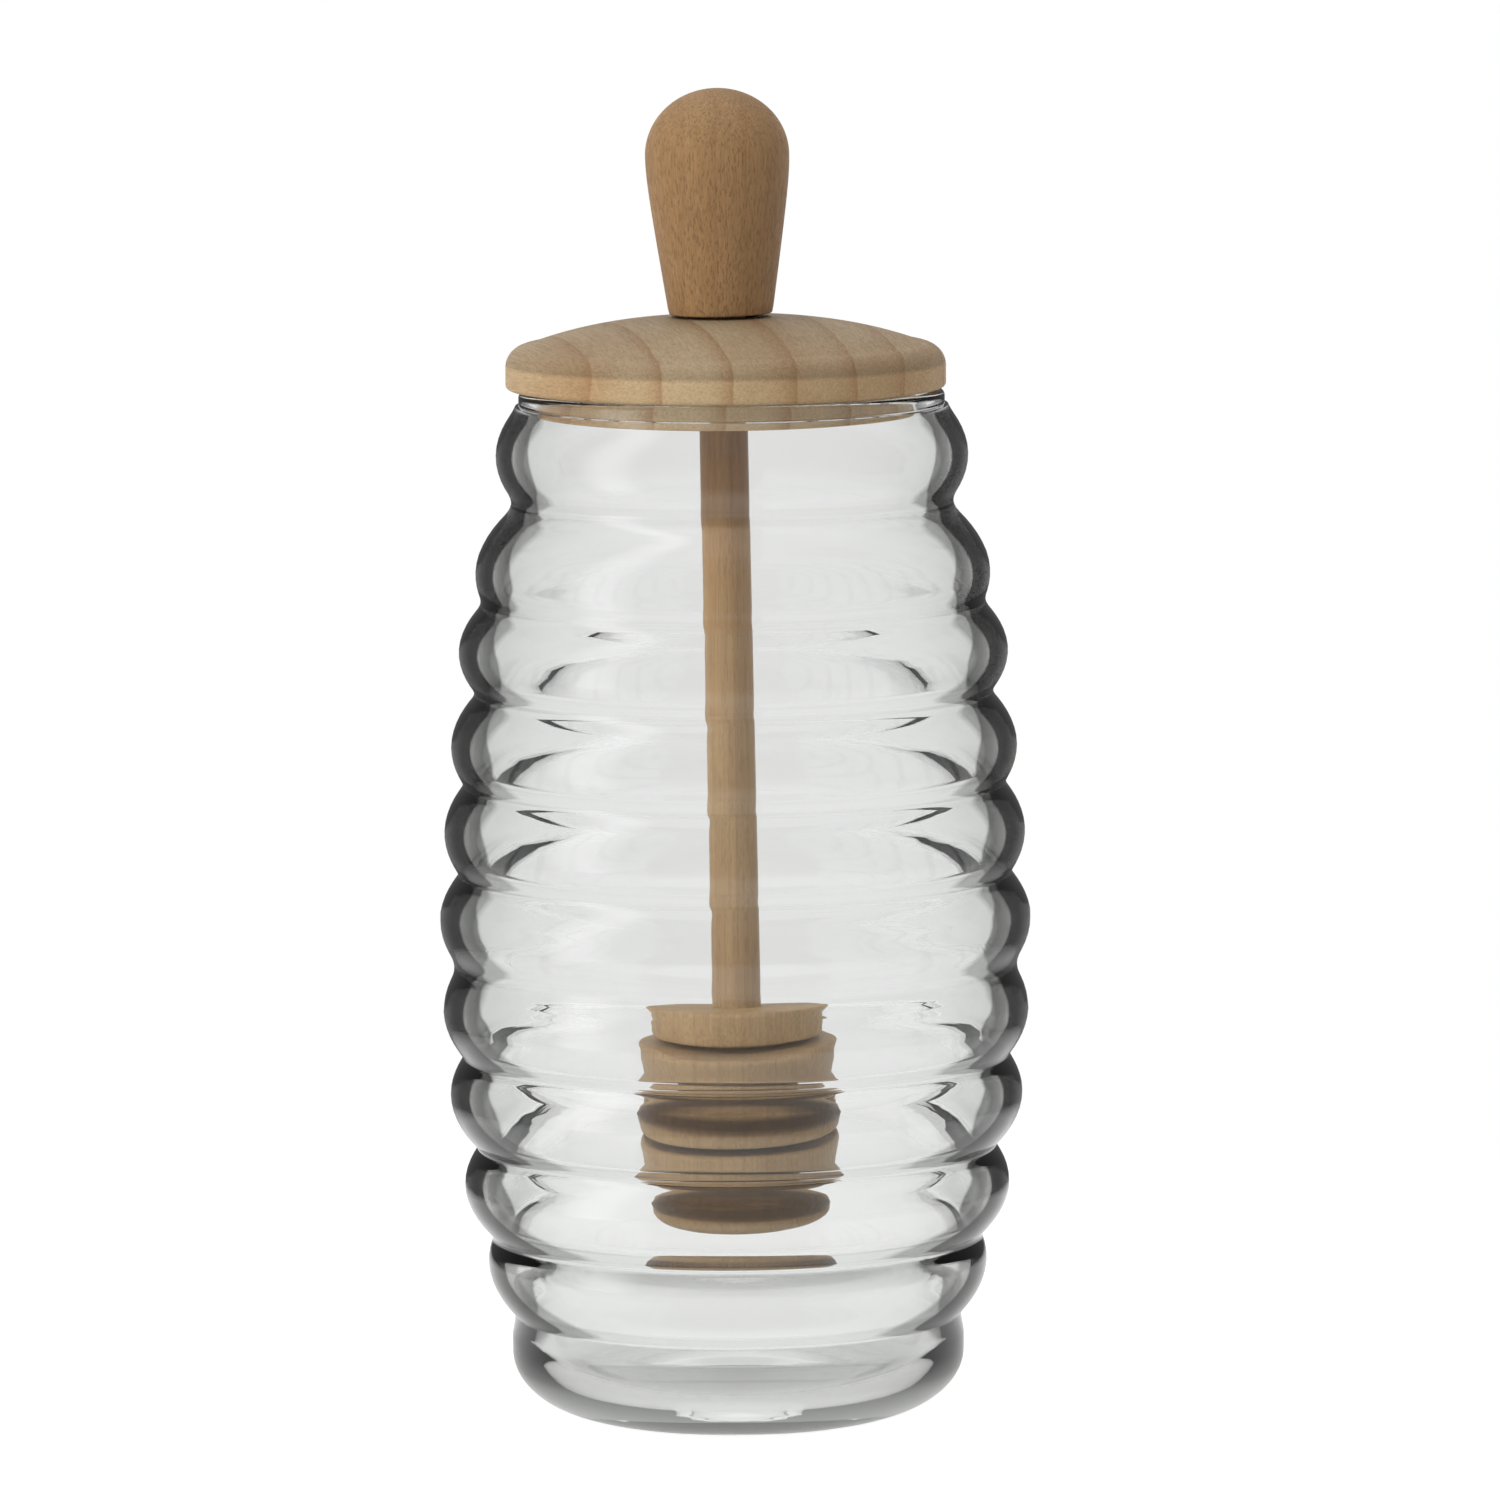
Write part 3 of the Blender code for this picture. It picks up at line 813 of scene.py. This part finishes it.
# %% The floor
FLOOR_RADIUS = 0.26
FLOOR_FADE_START = 0.16
FLOOR_GAP = 0.0003
FLOOR_SIDES = 96
FLOOR_COLOUR = (0.76, 0.76, 0.76, 1.0)
FLOOR_ROUGHNESS = 0.9
FLOOR_GLOW = 0.50


def make_floor():
    """A round pale floor that fades out towards its edge."""
    shape = bmesh.new()
    bmesh.ops.create_circle(shape, cap_ends=True, segments=FLOOR_SIDES, radius=FLOOR_RADIUS)
    mesh = bpy.data.meshes.new("floor")
    shape.to_mesh(mesh)
    shape.free()
    floor = bpy.data.objects.new("floor", mesh)
    floor.location.z = -FLOOR_GAP
    bpy.context.collection.objects.link(floor)
    material = bpy.data.materials.new("pale_floor")
    material.use_nodes = True
    tree = material.node_tree
    shader = tree.nodes["Principled BSDF"]
    shader.inputs["Base Color"].default_value = FLOOR_COLOUR
    shader.inputs["Roughness"].default_value = FLOOR_ROUGHNESS
    shader.inputs["Emission Color"].default_value = (1.0, 1.0, 1.0, 1.0)
    length = tree.nodes.new("ShaderNodeVectorMath")
    length.operation = "LENGTH"
    tree.links.new(tree.nodes.new("ShaderNodeTexCoord").outputs["Object"], length.inputs[0])
    path = tree.nodes.new("ShaderNodeLightPath")
    glow = maths(tree, "MULTIPLY", path.outputs["Is Camera Ray"], FLOOR_GLOW)
    tree.links.new(glow, shader.inputs["Emission Strength"])
    fade = remap(tree, length.outputs["Value"], FLOOR_FADE_START, FLOOR_RADIUS, 1.0, 0.0)
    tree.links.new(fade, shader.inputs["Alpha"])
    mesh.materials.append(material)


make_floor()
print("floor radius", FLOOR_RADIUS, "m")

# %% [markdown]
# The surround is plain white where it is seen directly. Glass needs something to bend, so rays through
# it meet bands by height: a little dimmer above eye level and bright straight up, like a soft box over
# a table. Mirror images on the rings come from a dark room with one tall soft window at the left,
# because a white room would wash the dark crescents out. Only the early ones do, up to the second
# bounce, since later ones come from deep in the glass and belong to the bright view through it. Wood
# takes most of the surround's light as fill. Walls and cards could do all this, but they would show
# through the glass.

# %% The surround
THROUGH_GLASS = (
    (0.00, (0.84, 0.84, 0.84)),
    (0.60, (0.84, 0.84, 0.84)),
    (0.66, (0.68, 0.68, 0.68)),
    (0.86, (0.68, 0.68, 0.68)),
    (0.92, (1.3, 1.3, 1.3)),
)
MIRRORED = (
    (0.00, (0.10, 0.10, 0.10)),
    (0.55, (0.12, 0.12, 0.12)),
    (0.66, (0.10, 0.10, 0.10)),
    (0.90, (0.45, 0.45, 0.45)),
)
WINDOW_SIDE = (-0.90, -0.44, 0.0)
WINDOW_LIGHT = 3.0
WINDOW_SPREAD = (0.94, 1.0)
WINDOW_STRENGTH = 0.8
MIRROR_LAST_BOUNCE = 2
FILL = 0.78


def make_surround():
    """White where it is seen directly, banded through glass, and a dark room with a window in mirrors."""
    world = bpy.data.worlds.new("studio")
    bpy.context.scene.world = world
    world.use_nodes = True
    tree = world.node_tree
    tree.nodes.clear()
    direction = tree.nodes.new("ShaderNodeTexCoord").outputs["Generated"]
    split = tree.nodes.new("ShaderNodeSeparateXYZ")
    tree.links.new(direction, split.inputs[0])
    height = remap(tree, split.outputs["Z"], -1.0, 1.0)
    bands = ramp(tree, height, THROUGH_GLASS)
    path = tree.nodes.new("ShaderNodeLightPath")
    mirrored = ramp(tree, height, MIRRORED)
    level = tree.nodes.new("ShaderNodeVectorMath")
    level.operation = "NORMALIZE"
    tree.links.new(scaled(tree, direction, (1.0, 1.0, 0.0)), level.inputs[0])
    toward = tree.nodes.new("ShaderNodeVectorMath")
    toward.operation = "DOT_PRODUCT"
    tree.links.new(level.outputs[0], toward.inputs[0])
    toward.inputs[1].default_value = WINDOW_SIDE
    window = maths(tree, "POWER", remap(tree, toward.outputs["Value"], *WINDOW_SPREAD), 2.0)
    window = maths(tree, "MULTIPLY", window, WINDOW_STRENGTH)
    mirrored = mix_colour(tree, window, mirrored, (WINDOW_LIGHT,) * 3)
    reflected = maths(tree, "SUBTRACT", path.outputs["Is Singular Ray"], path.outputs["Is Transmission Ray"])
    first = maths(tree, "LESS_THAN", path.outputs["Ray Depth"], MIRROR_LAST_BOUNCE + 0.5)
    reflected = maths(tree, "MULTIPLY", reflected, first)
    unseen = tree.nodes.new("ShaderNodeBackground")
    for_wood = maths(tree, "MULTIPLY", path.outputs["Is Diffuse Ray"], 1.0 - FILL)
    tree.links.new(maths(tree, "SUBTRACT", 1.0, for_wood), unseen.inputs["Strength"])
    tree.links.new(mix_colour(tree, reflected, bands, mirrored), unseen.inputs["Color"])
    seen = new_node(tree, "ShaderNodeBackground", Strength=1.0, Color=(1.0, 1.0, 1.0, 1.0))
    mix = tree.nodes.new("ShaderNodeMixShader")
    tree.links.new(path.outputs["Is Camera Ray"], mix.inputs["Fac"])
    tree.links.new(unseen.outputs["Background"], mix.inputs[1])
    tree.links.new(seen.outputs["Background"], mix.inputs[2])
    output = tree.nodes.new("ShaderNodeOutputWorld")
    tree.links.new(mix.outputs["Shader"], output.inputs["Surface"])


make_surround()
print("surround:", len(bpy.context.scene.world.node_tree.nodes), "nodes")

# %% [markdown]
# A tall soft box at the front left models the wood, and one overhead lights the floor and the top of
# the lid. Both are hidden from mirror images and from the view through glass, where they would show
# as hard bright shapes.

# %% Lamps
POT_MIDDLE = (0.0, 0.0, 0.095)
KEY_PLACE = (-0.85, -0.55, 0.45)
KEY_SIZE = (0.6, 1.2)
KEY_POWER = 7.8
TOP_PLACE = (0.0, 0.1, 1.1)
TOP_SIZE = (0.8, 0.8)
TOP_POWER = 4.2


def soft_box(name, place, aim, size, power):
    """An area lamp at place that points at aim."""
    lamp = bpy.data.lights.new(name, "AREA")
    lamp.shape = "RECTANGLE"
    lamp.size, lamp.size_y = size
    lamp.energy = power
    item = bpy.data.objects.new(name, lamp)
    bpy.context.collection.objects.link(item)
    item.location = place
    item.rotation_euler = (Vector(aim) - Vector(place)).to_track_quat("-Z", "Y").to_euler()
    item.visible_glossy = False
    item.visible_transmission = False
    print(name, "lamp:", power, "W")


soft_box("key", KEY_PLACE, POT_MIDDLE, KEY_SIZE, KEY_POWER)
soft_box("top", TOP_PLACE, POT_MIDDLE, TOP_SIZE, TOP_POWER)

# %% [markdown]
# The photograph looks slightly down at the pot from far away with a long lens. The camera stands a
# metre and a half off at that height and is rolled by less than half a degree, as the photograph is.
# Its lens is worked out from the height of the view at the pot, which can be measured, while the
# focal length can't.

# %% Camera
CAMERA_X = 0.00226
CAMERA_DISTANCE = 1.5
CAMERA_Z = 0.274
AIM_Z = 0.0951
VIEW_HEIGHT = 0.2133
CAMERA_ROLL = math.radians(-0.41)
SENSOR = 36.0

camera_data = bpy.data.cameras.new("camera")
camera = bpy.data.objects.new("camera", camera_data)
bpy.context.collection.objects.link(camera)
camera.location = (CAMERA_X, -CAMERA_DISTANCE, CAMERA_Z)
sight = Vector((CAMERA_X, 0.0, AIM_Z)) - camera.location
camera.rotation_mode = "QUATERNION"
roll = Matrix.Rotation(CAMERA_ROLL, 3, "Z").to_quaternion()
camera.rotation_quaternion = sight.to_track_quat("-Z", "Y") @ roll
camera_data.sensor_width = SENSOR
camera_data.lens = SENSOR * sight.length / VIEW_HEIGHT
bpy.context.scene.camera = camera
bpy.context.scene.view_settings.view_transform = "Standard"
print("lens", round(camera_data.lens, 1), "mm")
